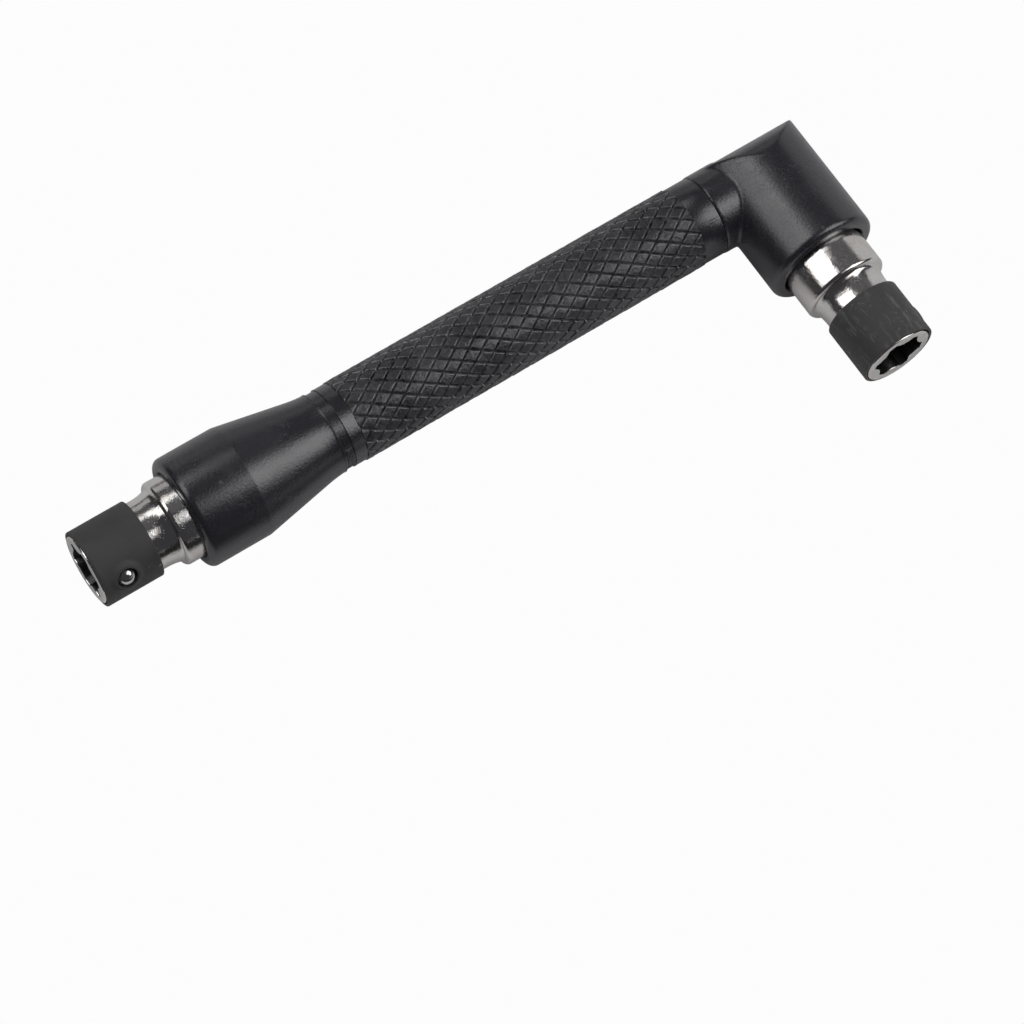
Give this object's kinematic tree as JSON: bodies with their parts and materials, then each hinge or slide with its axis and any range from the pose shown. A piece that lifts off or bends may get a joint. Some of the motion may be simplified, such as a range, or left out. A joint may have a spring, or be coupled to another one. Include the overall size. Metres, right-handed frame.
{
  "type": "l-shaped bit driver",
  "caption": "Right-angle hand driver: knurled bent handle with a sprung-ball hex bit socket in line at one end and another turned square to it at the other.",
  "frame": {"origin": "centre of the straight socket's mouth", "axes": "+X along the long arm from the straight socket to the elbow, the short arm points along -Y, +Z square to both arms"},
  "size_m": [0.1171, 0.0401, 0.0164],
  "materials": {
    "bar_steel": "plain drawn steel",
    "socket_chrome": "bright polished plating",
    "sleeve_rubber": "matte with light scuffs",
    "ball_steel": "polished",
    "handle_plastic": "satin moulded",
    "grip_plastic": "satin moulded diamond knurl"
  },
  "bodies": {
    "handle": {"core_bar": "bar_steel", "straight_socket": "socket_chrome", "angle_socket": "socket_chrome", "straight_sleeve": "sleeve_rubber", "angle_sleeve": "sleeve_rubber", "end_bell": "handle_plastic", "grip": "grip_plastic", "elbow_head": "handle_plastic"},
    "straight_detent": {"straight_ball": "ball_steel"},
    "angle_detent": {"angle_ball": "ball_steel"}
  },
  "joints": [
    {"name": "straight_ball_slide", "type": "slide", "parent": "handle", "child": "straight_detent", "axis": [0, -0.8746, 0.4848], "range_m": [0, 0.0004], "stiffness_N_per_m": 1000, "springref_m": -0.0002},
    {"name": "angle_ball_slide", "type": "slide", "parent": "handle", "child": "angle_detent", "axis": [0.9903, 0, -0.1392], "range_m": [0, 0.0004], "stiffness_N_per_m": 1000, "springref_m": -0.0002}
  ]
}
